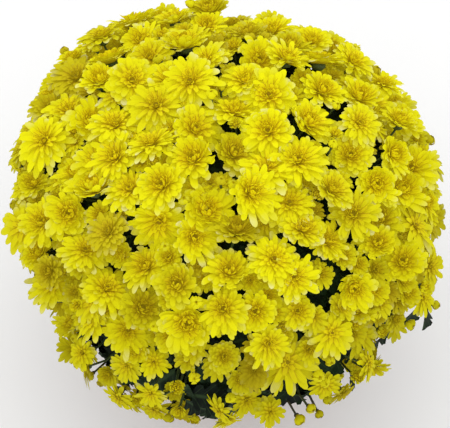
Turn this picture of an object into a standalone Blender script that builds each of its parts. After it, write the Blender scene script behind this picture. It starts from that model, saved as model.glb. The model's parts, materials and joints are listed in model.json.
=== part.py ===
"""A pot chrysanthemum in full bloom: four branching plants in a plain round pot, with one dome of double flowers.

Every object stands at its real size, in metres, +Z up, with the origin in the middle of the pot's underside.
"""

import math
import random

import bmesh
import bpy
import numpy as np
from mathutils import Matrix, Vector
from mathutils.geometry import delaunay_2d_cdt

SEED = 11
GOLDEN_ANGLE = math.pi * (3 - math.sqrt(5))
SEAT_GAP = 0.0003  # left between pieces that rest on each other

# Pot: tapered, with a band round its rim and holes in its floor
POT_SIDES = 28
POT_HEIGHT = 0.165
POT_RIM_RADIUS = 0.108
POT_BASE_RADIUS = 0.078
POT_WALL = 0.0028
POT_FLOOR = 0.0034
RIM_BAND_HEIGHT = 0.024
RIM_BAND_STEP = 0.0036
BASE_BEVEL = 0.004
DRAIN_COUNT = 5
DRAIN_RADIUS = 0.0065
DRAIN_CIRCLE = 0.052

# Potting soil, filling the pot to just under its rim
SOIL_TOP = 0.150
SOIL_CROWN = 0.004  # how far the middle is heaped above the edge
HOLE_DEPTH = 0.034

# Dome of blooms: half an ellipsoid above its widest line, and a deeper turned-in skirt below it
DOME_CENTRE = Vector((0, 0, 0.246))
DOME_RADIUS = 0.205  # to where the petals leave the calyx
DOME_RISE = 0.176
DOME_DROP = 0.158
DOME_LOWEST = math.radians(-35)  # latitude of the lowest blooms
SKIRT_MARGIN = math.radians(6)  # how far the cores reach below them
CORE_TOP = 0.945  # share of the dome's size at which the stalks leave the spray's core
CORE_BOTTOM = 0.915

# Sprays and blooms
SPRAY_COUNT = 36
BLOOM_COUNT = 286
BLOOM_JITTER = 0.30
SPRAY_BORDER = 0.030  # least distance from a bloom to its spray's edge, on a dome of radius 1
SPRAY_CLEARANCE = 0.0015
LIGHT_PULL = 0.5  # how far blooms turn up, towards the light
AXIS_JITTER = 0.13
EASING = 0.2  # share of its crowding that a bloom gives way by at each easing step
EASING_STEPS = 40
DEPTH_JITTER = 0.003
PETALS = 6  # in each of the two layers
BLOOM_RADIUS_MAX = 0.0215
BLOOM_RADIUS_MIN = 0.0125
BLOOM_GAP = 0.0006
STALK_RADIUS = 0.017  # on a dome of radius 1
PETAL_RISE = 0.42  # a petal tip's height over its distance from the axis
NOTCH_REACH = 0.76
NOTCH_RISE = 0.20
INNER_REACH = 0.58
INNER_RISE = 0.64
EYE_RISE = 0.44

# Four plants, each a short trunk that branches to its own quarter of the sprays
PLANT_COUNT = 4
PLANT_CIRCLE = 0.036
TRUNK_RADIUS = 0.0052
TRUNK_SIDES = 6
TRUNK_FORK = SOIL_TOP + 0.012  # where the lowest branch leaves the trunk
TRUNK_TOP = SOIL_TOP + 0.070
BRANCH_RADIUS = 0.0024
BRANCH_SIDES = 3
BRANCH_STEPS = 3
BRANCH_CLEARANCE = 0.0008
LEAF_LENGTH = 0.050
LEAF_THICKNESS = 0.0009
LEAF_ALONG = 0.45  # where a leaf leaves the last step of its branch
LEAF_ARCH = 0.16
LEAF_FOLD = 0.06
# Right half of the lobed outline: (distance along the rib, distance from it), as shares of the length
LEAF_HALF = ((0.00, 0.035), (0.30, 0.050), (0.45, 0.340), (0.60, 0.140), (0.80, 0.260))
LEAF_MIDDLE = (0.58, 0.0)


def clear_scene():
    for obj in list(bpy.data.objects):
        bpy.data.objects.remove(obj, do_unlink=True)


def material(name, colour, roughness):
    made = bpy.data.materials.new(name)
    made.use_nodes = True
    shader = made.node_tree.nodes["Principled BSDF"]
    shader.inputs["Base Color"].default_value = (*colour, 1)
    shader.inputs["Roughness"].default_value = roughness
    shader.inputs["Metallic"].default_value = 0
    made.diffuse_color = (*colour, 1)
    return made


def linked(name, mesh, finish):
    """An object of this finish in the scene, from a bmesh that has its faces turned outwards and is then freed."""
    bmesh.ops.recalc_face_normals(mesh, faces=mesh.faces)
    data = bpy.data.meshes.new(name)
    mesh.to_mesh(data)
    mesh.free()
    data.materials.append(finish)
    obj = bpy.data.objects.new(name, data)
    bpy.context.scene.collection.objects.link(obj)
    return obj


def object_from(name, points, faces, finish):
    mesh = bmesh.new()
    corners = [mesh.verts.new(p) for p in points]
    for face in faces:
        mesh.faces.new([corners[i] for i in face])
    return linked(name, mesh, finish)


def combine(target, parts, operation):
    """Applies one Boolean of all the parts to the target, then removes the parts."""
    group = bpy.data.collections.new(target.name + "_parts")
    for part in parts:
        group.objects.link(part)
    boolean = target.modifiers.new(operation, "BOOLEAN")
    boolean.operation = operation
    boolean.operand_type = "COLLECTION"
    boolean.collection = group
    graph = bpy.context.evaluated_depsgraph_get()
    result = bpy.data.meshes.new_from_object(target.evaluated_get(graph))
    target.modifiers.clear()
    target.data = result
    for part in parts:
        bpy.data.objects.remove(part, do_unlink=True)
    bpy.data.collections.remove(group)


def smooth(obj):
    """Shades the round faces smooth and leaves the sharp edges sharp."""
    obj.data.shade_smooth()
    obj.data.set_sharp_from_angle(angle=math.radians(35))


def shells(mesh):
    """The mesh's separate bodies, each as a list of its faces."""
    left, found = set(mesh.faces), []
    while left:
        body, edge = [], [left.pop()]
        while edge:
            face = edge.pop()
            body.append(face)
            near = {other for side in face.edges for other in side.link_faces} & left
            left -= near
            edge.extend(near)
        found.append(body)
    return found


def keep_largest(obj):
    """Drops the crumbs and sealed hollows that a union leaves beside the body itself."""
    mesh = bmesh.new()
    mesh.from_mesh(obj.data)
    bodies = sorted(shells(mesh), key=lambda body: sum(face.calc_area() for face in body))
    for body in bodies[:-1]:
        bmesh.ops.delete(mesh, geom=body, context="FACES")
    mesh.to_mesh(obj.data)
    mesh.free()


def turned(name, profile, sides, finish):
    """A solid of revolution: profile is its (radius, height) points, from the bottom of the axis to its top."""
    mesh = bmesh.new()
    points = [mesh.verts.new((radius, 0, height)) for radius, height in profile]
    edges = [mesh.edges.new(pair) for pair in zip(points, points[1:])]
    axis = {"cent": (0, 0, 0), "axis": (0, 0, 1), "angle": math.tau, "steps": sides}
    bmesh.ops.spin(mesh, geom=points + edges, use_merge=True, **axis)
    bmesh.ops.remove_doubles(mesh, verts=mesh.verts, dist=0.00001)
    return linked(name, mesh, finish)


def column(name, centre, radius, bottom, top, sides, finish):
    """An upright prism round the vertical through centre."""
    mesh = bmesh.new()
    place = Matrix.Translation((centre.x, centre.y, (bottom + top) / 2))
    size = {"radius1": radius, "radius2": radius, "depth": top - bottom}
    bmesh.ops.create_cone(mesh, cap_ends=True, segments=sides, matrix=place, **size)
    return linked(name, mesh, finish)


def wall_radius(height):
    """The pot's outer radius at this height, under the rim band."""
    return POT_BASE_RADIUS + (POT_RIM_RADIUS - RIM_BAND_STEP - POT_BASE_RADIUS) * height / POT_HEIGHT


def make_pot(finish):
    band = POT_HEIGHT - RIM_BAND_HEIGHT
    underside = [(0, 0), (wall_radius(0) - BASE_BEVEL, 0), (wall_radius(BASE_BEVEL), BASE_BEVEL)]
    rim = [(wall_radius(band), band), (POT_RIM_RADIUS - 0.001, band), (POT_RIM_RADIUS, POT_HEIGHT)]
    inside = [(wall_radius(POT_HEIGHT) - POT_WALL, POT_HEIGHT), (wall_radius(POT_FLOOR) - POT_WALL, POT_FLOOR)]
    pot = turned("pot", underside + rim + inside + [(0, POT_FLOOR)], POT_SIDES, finish)
    drains = []
    for i in range(DRAIN_COUNT):
        turn = math.tau * i / DRAIN_COUNT
        centre = Vector((DRAIN_CIRCLE * math.cos(turn), DRAIN_CIRCLE * math.sin(turn), 0))
        drains.append(column(f"drain_{i}", centre, DRAIN_RADIUS, -POT_FLOOR, 2 * POT_FLOOR, 8, finish))
    combine(pot, drains, "DIFFERENCE")
    smooth(pot)


def trunk_places():
    """Where the four trunks stand, on a circle round the pot's axis."""
    turns = [math.tau * (i + 0.5) / PLANT_COUNT for i in range(PLANT_COUNT)]
    return [Vector((PLANT_CIRCLE * math.cos(t), PLANT_CIRCLE * math.sin(t), 0)) for t in turns]


def make_soil(finish):
    bottom = POT_FLOOR + SEAT_GAP
    edge = wall_radius(SOIL_TOP) - POT_WALL - 2 * SEAT_GAP
    foot = wall_radius(bottom) - POT_WALL - 2 * SEAT_GAP
    heap = [(edge * 0.6, SOIL_TOP + SOIL_CROWN * 0.7), (0, SOIL_TOP + SOIL_CROWN)]
    profile = [(0, bottom), (foot, bottom), (edge, SOIL_TOP), *heap]
    soil = turned("potting_soil", profile, POT_SIDES // 2, finish)
    holes = []
    for i, place in enumerate(trunk_places()):
        radius, bottom = TRUNK_RADIUS + SEAT_GAP, SOIL_TOP - HOLE_DEPTH
        holes.append(column(f"hole_{i}", place, radius, bottom, SOIL_TOP + 0.02, TRUNK_SIDES, finish))
    combine(soil, holes, "DIFFERENCE")
    smooth(soil)


def spiral(count, first):
    """Directions spread evenly over the dome, from its top to its lowest blooms, along a golden spiral."""
    share = (np.arange(count) + 0.5) / count
    height = 1 - share * (1 - math.sin(DOME_LOWEST))
    turn = first + GOLDEN_ANGLE * np.arange(count)
    flat = np.sqrt(1 - height**2)
    return np.column_stack([flat * np.cos(turn), flat * np.sin(turn), height])


def spaced(directions, rng):
    """The directions moved about at random, then pushed apart until none crowds its neighbours."""
    area = math.tau * (1 - math.sin(DOME_LOWEST)) / len(directions)
    reach = 1.08 * math.sqrt(area / 0.866)
    moved = directions + rng.normal(0, BLOOM_JITTER * reach, directions.shape)
    for _ in range(24):
        moved /= np.linalg.norm(moved, axis=1)[:, None]
        apart = moved[:, None, :] - moved[None, :, :]
        distance = np.linalg.norm(apart, axis=2) + np.eye(len(moved))
        push = np.clip(reach - distance, 0, None) * (1 - np.eye(len(moved)))
        moved += 0.22 * (apart / distance[..., None] * push[..., None]).sum(axis=1)
        moved[:, 2] = np.maximum(moved[:, 2], math.sin(DOME_LOWEST) + 0.012)
    return moved / np.linalg.norm(moved, axis=1)[:, None]


def kept_within(blooms, owner, sprays):
    """The blooms moved clear of the edges of their sprays, in two rounds because a corner has two edges."""
    for k in 2 * list(range(len(sprays))):
        edge = sprays[owner] - sprays[k]
        size = np.linalg.norm(edge, axis=1)
        edge /= np.where(size > 0, size, 1)[:, None]
        inside = (blooms * edge).sum(axis=1)
        short = np.where(size > 0, np.clip(SPRAY_BORDER - inside, 0, None), 0)
        blooms = blooms + edge * short[:, None]
        blooms /= np.linalg.norm(blooms, axis=1)[:, None]
    return blooms


def on_dome(direction, share=1.0):
    """The point of the dome, drawn to this share of its size, in this direction."""
    depth = DOME_RISE if direction[2] > 0 else DOME_DROP
    x, y, z = (float(v) for v in direction)
    return DOME_CENTRE + share * Vector((DOME_RADIUS * x, DOME_RADIUS * y, depth * z))


def outward(direction):
    depth = DOME_RISE if direction[2] > 0 else DOME_DROP
    x, y, z = (float(v) for v in direction)
    return Vector((x / DOME_RADIUS, y / DOME_RADIUS, z / depth)).normalized()


class Bloom:
    """One flower head: its seat on the dome, the way it faces, its roll about that, and its radius."""

    def __init__(self, direction, spray, rng):
        self.direction = Vector([float(v) for v in direction])
        self.spray = int(spray)
        normal = outward(direction)
        self.seat = on_dome(direction) + normal * rng.uniform(-DEPTH_JITTER, DEPTH_JITTER)
        lean = Vector([rng.gauss(0, AXIS_JITTER) for _ in range(3)])
        self.axis = (normal + LIGHT_PULL * Vector((0, 0, 1)) + lean).normalized()
        self.roll = rng.uniform(0, math.tau)
        self.radius = BLOOM_RADIUS_MIN

    def rim_centre(self):
        return self.seat + self.axis * (PETAL_RISE * BLOOM_RADIUS_MAX)


def settled(blooms, owner, sprays, rng):
    """The blooms made and eased apart where their rims crowd each other, each kept within its spray."""
    for _ in range(EASING_STEPS):
        state = rng.getstate()
        placed = [Bloom(direction, spray, rng) for direction, spray in zip(blooms, owner)]
        rng.setstate(state)
        rims = np.array([b.rim_centre() for b in placed])
        apart = rims[:, None] - rims[None]
        distance = np.linalg.norm(apart, axis=2) + np.eye(len(rims))
        push = np.clip(2 * BLOOM_RADIUS_MAX - distance, 0, None) * (1 - np.eye(len(rims)))
        blooms = blooms + EASING / DOME_RADIUS * (apart / distance[..., None] * push[..., None]).sum(axis=1)
        blooms /= np.linalg.norm(blooms, axis=1)[:, None]
        blooms[:, 2] = np.maximum(blooms[:, 2], math.sin(DOME_LOWEST))
        blooms = kept_within(blooms, owner, sprays)
    return [Bloom(direction, spray, rng) for direction, spray in zip(blooms, owner)]


def place_blooms():
    """All the blooms of the dome, each as wide as its neighbours leave room for."""
    sprays = spiral(SPRAY_COUNT, 0.4)
    blooms = spaced(spiral(BLOOM_COUNT, 0.0), np.random.default_rng(SEED))
    owner = np.argmax(blooms @ sprays.T, axis=1)
    placed = settled(kept_within(blooms, owner, sprays), owner, sprays, random.Random(SEED))
    centres = np.array([b.rim_centre() for b in placed])
    distance = np.linalg.norm(centres[:, None] - centres[None], axis=2) + 9 * np.eye(len(placed))
    radius = np.minimum(distance.min(axis=1) / 2, BLOOM_RADIUS_MAX)
    for i in range(len(placed)):
        radius[i] = min(BLOOM_RADIUS_MAX, (distance[i] - radius).min())
        placed[i].radius = float(radius[i]) - BLOOM_GAP
    return [Vector(s) for s in sprays], placed


def plane_axes(normal):
    """Two directions that with this one make a right-handed frame."""
    side = normal.orthogonal().normalized()
    return side, normal.cross(side)


def clipped(polygon, keep):
    """A convex polygon cut back to where keep, which is linear, is positive."""
    result = []
    for i, here in enumerate(polygon):
        after = polygon[(i + 1) % len(polygon)]
        a, b = keep(here), keep(after)
        if a >= 0:
            result.append(here)
        if a * b < 0:
            result.append(here.lerp(after, a / (a - b)))
    return result


def spray_outline(index, sprays):
    """The spray's edge, half way to its neighbours, on the plane touching the dome of radius 1 at its middle."""
    middle = sprays[index]
    side, up = plane_axes(middle)
    outline = [middle + 0.9 * (x * side + y * up) for x, y in ((-1, -1), (1, -1), (1, 1), (-1, 1))]
    for k, other in enumerate(sprays):
        if k != index:
            edge = (middle - other).normalized()
            outline = clipped(outline, lambda p, edge=edge: p.dot(edge) - SPRAY_CLEARANCE)
    azimuth = math.atan2(middle.y, middle.x)
    low = DOME_LOWEST - SKIRT_MARGIN
    above = Vector((-math.sin(low) * math.cos(azimuth), -math.sin(low) * math.sin(azimuth), math.cos(low)))
    return clipped(outline, lambda p: p.dot(above))


def bloom_points(bloom):
    """The bloom's points above its stalk: its outline of tips and notches, the inner layer's tips, and the eye."""
    side, up = plane_axes(bloom.axis)
    step = math.pi / PETALS

    def point(turn, reach, rise):
        across = math.cos(bloom.roll + turn) * side + math.sin(bloom.roll + turn) * up
        return bloom.seat + bloom.radius * (reach * across + rise * bloom.axis)

    outline = []
    for k in range(PETALS):
        outline.append(point(2 * k * step, 1.0, PETAL_RISE))
        outline.append(point((2 * k + 1) * step, NOTCH_REACH, NOTCH_RISE))
    inner = [point((2 * k + 1) * step, INNER_REACH, INNER_RISE) for k in range(PETALS)]
    return [*outline, *inner, point(0, 0, EYE_RISE)]


def zipped(low, high):
    """Triangles between two rings of corners that start at the same turn and hold different numbers of them."""
    faces, i, j = [], 0, 0
    while i < len(low) or j < len(high):
        here, there = low[i % len(low)], high[j % len(high)]
        if (j + 1) * len(low) <= (i + 1) * len(high):
            faces.append([here, high[(j + 1) % len(high)], there])
            j += 1
        else:
            faces.append([here, low[(i + 1) % len(low)], there])
            i += 1
    return faces


def bloom_faces(foot, start):
    """The faces from the stalk's foot to the outline, and from there over both layers of petals to the eye."""
    outline = [start + i for i in range(2 * PETALS)]
    inner = [start + 2 * PETALS + k for k in range(PETALS)]
    eye = start + 3 * PETALS
    faces = zipped(foot, outline)
    for k in range(PETALS):
        tip, notch, after = outline[2 * k], outline[2 * k + 1], outline[(2 * k + 2) % len(outline)]
        faces += [[tip, notch, inner[k]], [notch, after, inner[k]]]
        faces += [[tip, inner[k], inner[k - 1]], [inner[k - 1], inner[k], eye]]
    return faces


def stalk_foot(bloom, middle, side, up):
    """The three corners where a bloom's stalk leaves the core, on the plane that holds the spray's outline."""
    at = bloom.direction / bloom.direction.dot(middle)
    face_side, face_up = plane_axes(bloom.axis)
    corners = []
    for k in range(3):
        turn = bloom.roll + math.tau * k / 3
        way = math.cos(turn) * face_side + math.sin(turn) * face_up
        corner = at + STALK_RADIUS * way
        corners.append(Vector((corner.dot(side), corner.dot(up))))
    return corners


def make_spray(index, sprays, blooms, finish):
    """One spray: its blooms, in two layers of petals each, standing on stalks out of a thin core."""
    middle = sprays[index]
    side, up = plane_axes(middle)
    outline = spray_outline(index, sprays)
    flat = [Vector((p.dot(side), p.dot(up))) for p in outline]
    feet = [stalk_foot(bloom, middle, side, up) for bloom in blooms]
    flat += [corner for foot in feet for corner in foot]
    edge_count = len(outline)
    constraints = [list(range(edge_count))]
    constraints += [[edge_count + 3 * b + c for c in range(3)] for b in range(len(blooms))]
    _, _, triangles, from_input, _, from_faces = delaunay_2d_cdt(flat, [], constraints, 1, 1e-7)

    def lifted(p, share):
        direction = (middle + p.x * side + p.y * up).normalized()
        return on_dome(direction, share)

    points = [lifted(p, CORE_TOP) for p in flat]
    open_core = [t for t, within in zip(triangles, from_faces) if max(within) == 0]
    faces = [[from_input[v][0] for v in t] for t in open_core]
    under = len(points)
    points += [lifted(p, CORE_BOTTOM) for p in flat[:edge_count]]
    points.append(on_dome(middle, CORE_BOTTOM))
    for i in range(edge_count):
        after = (i + 1) % edge_count
        faces.append([i, under + i, under + after, after])
        faces.append([under + i, under + edge_count, under + after])
    for b, bloom in enumerate(blooms):
        foot = [edge_count + 3 * b + c for c in range(3)]
        faces += bloom_faces(foot, len(points))
        points += bloom_points(bloom)
    return object_from(f"blooms_{index + 1:02d}", points, faces, finish)


def stem(name, route, radii, sides, last_way, finish):
    """A tapered stem along a route of points, cut off square to last_way at its end."""
    points, faces = [], []
    for i, at in enumerate(route):
        ahead = route[min(i + 1, len(route) - 1)] - route[max(i - 1, 0)]
        side, up = plane_axes(last_way if i == len(route) - 1 else ahead.normalized())
        for k in range(sides):
            turn = math.tau * k / sides
            points.append(at + radii[i] * (math.cos(turn) * side + math.sin(turn) * up))
    for i in range(len(route) - 1):
        for k in range(sides):
            low, after = i * sides + k, i * sides + (k + 1) % sides
            faces.append([low, after, after + sides, low + sides])
    faces.append(list(range(sides)))
    faces.append([len(points) - 1 - k for k in range(sides)])
    return object_from(name, points, faces, finish)


def bend(start, lean, end, share):
    """A point of the curve that leaves start towards lean and arrives at end."""
    return start.lerp(lean, share).lerp(lean.lerp(end, share), share)


def leaf(name, root, along, top, finish):
    """A lobed leaf: its root, the way its rib runs, and the way its upper face looks."""
    side = along.cross(top).normalized()
    top = side.cross(along).normalized()
    half = [Vector(p) for p in LEAF_HALF]
    outline = half + [Vector((1, 0))] + [Vector((p.x, -p.y)) for p in reversed(half)]

    def point(x, y, offset):
        droop = -LEAF_ARCH * x * x - LEAF_FOLD + LEAF_FOLD * abs(y) / 0.34
        return root + LEAF_LENGTH * (x * along + y * side + droop * top) + offset * top

    points, faces = [], []
    for offset in (LEAF_THICKNESS / 2, -LEAF_THICKNESS / 2):
        points += [point(p.x, p.y, offset) for p in outline]
        points.append(point(*LEAF_MIDDLE, offset))
    count = len(outline)
    for i in range(count):
        after = (i + 1) % count
        faces.append([i, after, count])
        faces.append([count + 1 + after, count + 1 + i, 2 * count + 1])
        faces.append([i, count + 1 + i, count + 1 + after, after])
    return object_from(name, points, faces, finish)


def branch_route(start, spray):
    """The route of a branch from its place on the trunk up to the underside of its spray."""
    end = on_dome(spray, CORE_BOTTOM) - outward(spray) * BRANCH_CLEARANCE
    lean = start + Vector((spray.x, spray.y, 0.9)).normalized() * (end - start).length * 0.45
    return [bend(start, lean, end, i / BRANCH_STEPS) for i in range(BRANCH_STEPS + 1)]


def make_leaf(name, spray, route, homeward, finish):
    """The leaf of one branch, spread below the blooms towards the middle of its own plant."""
    normal, zenith = outward(spray), Vector((0, 0, 1))
    sideways = normal.cross(zenith if abs(normal.z) < 0.95 else Vector((1, 0, 0))).normalized()
    if sideways.dot(homeward) < 0:
        sideways = -sideways
    root = route[-2].lerp(route[-1], LEAF_ALONG)
    return leaf(name, root, (sideways - 0.12 * normal).normalized(), normal, finish)


def make_plant(index, place, sprays, finish):
    """One plant: its trunk, a branch up to each of its sprays, and a leaf on each branch."""
    bottom = SOIL_TOP - HOLE_DEPTH + SEAT_GAP
    plant = column(f"leafy_stems_{index + 1}", place, TRUNK_RADIUS, bottom, TRUNK_TOP, TRUNK_SIDES, finish)
    parts = []
    ordered = sorted(sprays, key=lambda s: s.z)
    for k, spray in enumerate(ordered):
        height = TRUNK_FORK + (TRUNK_TOP - 0.004 - TRUNK_FORK) * k / (len(ordered) - 1)
        route = branch_route(Vector((place.x, place.y, height)), spray)
        radii = [BRANCH_RADIUS * (1 - 0.35 * i / BRANCH_STEPS) for i in range(BRANCH_STEPS + 1)]
        parts.append(stem(f"branch_{k}", route, radii, BRANCH_SIDES, outward(spray), finish))
        parts.append(make_leaf(f"leaf_{k}", spray, route, place - Vector((route[-1].x, route[-1].y, 0)), finish))
    combine(plant, parts, "UNION")
    keep_largest(plant)


def main():
    clear_scene()
    plastic = material("pot_plastic", (0.33, 0.13, 0.07), 0.55)
    earth = material("potting_soil", (0.045, 0.028, 0.018), 0.95)
    green = material("leaf_green", (0.05, 0.12, 0.035), 0.6)
    yellow = material("petal_yellow", (0.80, 0.66, 0.02), 0.55)
    make_pot(plastic)
    make_soil(earth)
    sprays, blooms = place_blooms()
    for index in range(SPRAY_COUNT):
        make_spray(index, sprays, [b for b in blooms if b.spray == index], yellow)
    for index, place in enumerate(trunk_places()):
        quarter = [s for s in sprays if int(math.atan2(s.y, s.x) % math.tau / (math.tau / PLANT_COUNT)) == index]
        make_plant(index, place, quarter, green)


main()
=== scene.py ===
import json
import math
import random
from collections import namedtuple

import bmesh
import bpy
import numpy as np
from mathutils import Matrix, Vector, noise

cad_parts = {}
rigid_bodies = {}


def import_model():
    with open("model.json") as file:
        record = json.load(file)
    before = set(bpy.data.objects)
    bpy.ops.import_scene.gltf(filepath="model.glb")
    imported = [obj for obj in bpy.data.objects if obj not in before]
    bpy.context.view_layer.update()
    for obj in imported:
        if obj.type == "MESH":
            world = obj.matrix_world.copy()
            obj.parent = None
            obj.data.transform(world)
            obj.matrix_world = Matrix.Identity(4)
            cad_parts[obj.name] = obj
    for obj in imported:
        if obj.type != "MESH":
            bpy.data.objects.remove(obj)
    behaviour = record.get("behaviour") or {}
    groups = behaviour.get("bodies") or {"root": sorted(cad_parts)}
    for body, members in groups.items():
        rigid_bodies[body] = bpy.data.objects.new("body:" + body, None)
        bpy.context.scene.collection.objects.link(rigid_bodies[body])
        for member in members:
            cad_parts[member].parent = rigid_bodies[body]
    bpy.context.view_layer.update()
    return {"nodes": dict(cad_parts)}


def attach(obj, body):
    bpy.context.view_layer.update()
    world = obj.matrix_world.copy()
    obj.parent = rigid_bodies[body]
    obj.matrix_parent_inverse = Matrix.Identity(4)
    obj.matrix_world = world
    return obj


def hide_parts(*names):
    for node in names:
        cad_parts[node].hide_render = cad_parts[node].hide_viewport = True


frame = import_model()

goldenAngle = math.pi * (3 - math.sqrt(5))
up = Vector((0, 0, 1))


# Small tools for node trees and meshes

class Wire:
    # an output socket; maths on it adds Math nodes
    def __init__(self, net, socket):
        self.net, self.socket = net, socket

    def operator(operation, reflected=False):
        def act(self, other):
            values = (other, self) if reflected else (self, other)
            return self.net.maths(operation, *values)
        return act

    __add__, __radd__ = operator("ADD"), operator("ADD", True)
    __sub__, __rsub__ = operator("SUBTRACT"), operator("SUBTRACT", True)
    __mul__, __rmul__ = operator("MULTIPLY"), operator("MULTIPLY", True)
    __truediv__, __rtruediv__ = operator("DIVIDE"), operator("DIVIDE", True)


class Net:
    # a node tree; its other methods add their nodes through the method node
    def __init__(self, tree):
        self.tree = tree

    def node(self, kind, links=None, out=0, **settings):
        made = self.tree.nodes.new(kind)
        for name, value in settings.items():
            setattr(made, name, value)
        for key, value in (links or {}).items():
            for one in value if isinstance(value, list) else [value]:
                if isinstance(one, Wire):
                    self.tree.links.new(one.socket, made.inputs[key])
                else:
                    made.inputs[key].default_value = one
        return Wire(self, made.outputs[out])

    def shape(self, kind, first=None, out=0, **sockets):
        values = sockets if first is None else {0: first, **sockets}
        return self.node("GeometryNode" + kind, values, out)

    def maths(self, operation, *values):
        return self.node("ShaderNodeMath", dict(enumerate(values)), operation=operation)

    def vector(self, *parts):
        return self.node("ShaderNodeCombineXYZ", dict(enumerate(parts)))

    def step(self, value, low, high):
        links = {0: value, 1: low, 2: high}
        return self.node("ShaderNodeMapRange", links, interpolation_type="SMOOTHSTEP")

    def blend(self, first, second, share, way="MIX"):
        first, second = ((*c, 1) if isinstance(c, tuple) else c for c in (first, second))
        links = {0: share, 6: first, 7: second}
        return self.node("ShaderNodeMix", links, 2, data_type="RGBA", blend_type=way)

    def attribute(self, name, kind="FLOAT"):
        if self.tree.type == "SHADER":
            return self.node("ShaderNodeAttribute", None, "Fac", attribute_name=name)
        return self.node("GeometryNodeInputNamedAttribute", {0: name}, data_type=kind)

    def attributes(self, names):
        return [self.attribute(name) for name in names.split()]

    def place(self):
        return self.node("ShaderNodeTexCoord", None, "Object")

    def heightOf(self, place):
        return self.node("ShaderNodeSeparateXYZ", {0: place}, 2)

    def grain(self, place, scale, detail, roughness=0.5):
        links = {"Vector": place, "Scale": scale, "Detail": detail, "Roughness": roughness}
        return self.node("ShaderNodeTexNoise", links)


class Finish(Net):
    # a material, whose shader takes these numbers and colours
    def __init__(self, name, constants):
        self.material = bpy.data.materials.new(name)
        self.material.use_nodes = True
        super().__init__(self.material.node_tree)
        self.inputs = self.tree.nodes["Principled BSDF"].inputs
        for label, value in constants.items():
            self.inputs[label].default_value = (*value, 1) if isinstance(value, tuple) else value

    def feed(self, label, wire):
        self.tree.links.new(wire.socket, self.inputs[label])

    def bump(self, height, strength, distance):
        links = {"Strength": strength, "Distance": distance, "Height": height}
        self.feed("Normal", self.node("ShaderNodeBump", links))


def geometryTree(name, inputs):
    tree = bpy.data.node_groups.new(name, "GeometryNodeTree")
    tree.interface.new_socket("Geometry", in_out="OUTPUT", socket_type="NodeSocketGeometry")
    tree.interface.new_socket("Geometry", in_out="INPUT", socket_type="NodeSocketGeometry")
    for kind, labels in inputs.items():
        for label in labels:
            tree.interface.new_socket(label, in_out="INPUT", socket_type="NodeSocket" + kind)
    net = Net(tree)
    source = tree.nodes.new("NodeGroupInput")
    return net, {socket.name: Wire(net, socket) for socket in source.outputs if socket.name}


def ended(net, geometry):
    result = net.tree.nodes.new("NodeGroupOutput")
    net.tree.links.new(geometry.socket, result.inputs[0])
    return net.tree


def meshFrom(name, points, faces, edges=(), **values):
    # values are attributes of the points: numbers, or triples of numbers
    mesh = bpy.data.meshes.new(name)
    mesh.from_pydata([tuple(p) for p in points], list(edges), faces)
    for label, column in values.items():
        flat = np.array([tuple(v) if isinstance(v, Vector) else v for v in column])
        kind, field = ("FLOAT_VECTOR", "vector") if flat.ndim == 2 else ("FLOAT", "value")
        if flat.dtype.kind == "i":
            kind = "INT"
        mesh.attributes.new(label, kind, "POINT").data.foreach_set(field, flat.ravel())
    return mesh


def meshOf(name, work):
    mesh = bpy.data.meshes.new(name)
    work.to_mesh(mesh)
    work.free()
    return mesh


Spot = namedtuple("Spot", "root heading facing size form tone")


def spotsMesh(name, spots, *more):
    # points that say which way, how large and which form the copies placed on them are
    labels = ("facing", "heading", "size", "form", "tone", *more)
    values = {label: [getattr(spot, label) for spot in spots] for label in labels}
    return meshFrom(name, [spot.root for spot in spots], [], **values)


def stripFaces(rows):
    # the quads of a strip that has three points to a row
    return [[a, a + 1, a + 4, a + 3] for row in range(rows) for a in (3 * row, 3 * row + 1)]


def around(turn, radius=1.0, height=0.0):
    return radius * math.cos(turn), radius * math.sin(turn), height


def lathed(name, rings, ends, **values):
    # rings of points, each a radius and a height, closed on the axis at the top, or at the top and the bottom
    sides = 8
    points = [around(math.tau * k / sides, *ring) for ring in rings for k in range(sides)]
    points += [(0, 0, height) for height in ends]
    last = (len(rings) - 1) * sides
    faces = []
    for k in range(sides):
        after = (k + 1) % sides
        faces += [[a + k, a + after, a + sides + after, a + sides + k] for a in range(0, last, sides)]
        faces += [[last + k, last + after, last + sides], [after, k, last + sides + 1]][: len(ends)]
    return meshFrom(name, points, faces, **{label: [value] * len(points) for label, value in values.items()})


def placed(name, mesh, group=None):
    obj = bpy.data.objects.new(name, mesh)
    (group or bpy.context.scene.collection).objects.link(obj)
    return obj


def newGroup(name):
    group = bpy.data.collections.new(name)
    bpy.context.scene.collection.children.link(group)
    return group


def removed(*things):
    # deletes helper objects, and groups with all that they hold
    for thing in things:
        if isinstance(thing, bpy.types.Collection):
            removed(*thing.objects)
            bpy.data.collections.remove(thing)
        else:
            bpy.data.objects.remove(thing)


def settledMesh(obj):
    # the object with the plain mesh that its modifier makes
    graph = bpy.context.evaluated_depsgraph_get()
    shown = obj.evaluated_get(graph)
    result = bpy.data.meshes.new_from_object(shown, preserve_all_data_layers=True, depsgraph=graph)
    result.name = obj.name
    for k in reversed(range(len(result.materials))):
        if not result.materials[k]:
            result.materials.pop(index=k)
    obj.modifiers.clear()
    obj.data = result
    return obj


def grown(obj, tree, values):
    modifier = obj.modifiers.new("growth", "NODES")
    modifier.node_group = tree
    for item in tree.interface.items_tree:
        if item.in_out == "INPUT" and item.name in values:
            modifier[item.identifier] = values[item.name]
    return settledMesh(obj)


def aside(direction, turn):
    # a way at right angles to the direction
    side = direction.orthogonal().normalized()
    return math.cos(turn) * side + math.sin(turn) * direction.cross(side)


def sideOf(rng, direction):
    return aside(direction, rng.uniform(0, math.tau))


def stray(rng, size):
    return Vector([rng.gauss(0, size) for _ in range(3)])


def bend(start, lean, end, share):
    return start.lerp(lean, share).lerp(lean.lerp(end, share), share)


# Camera, lights and floor

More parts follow.
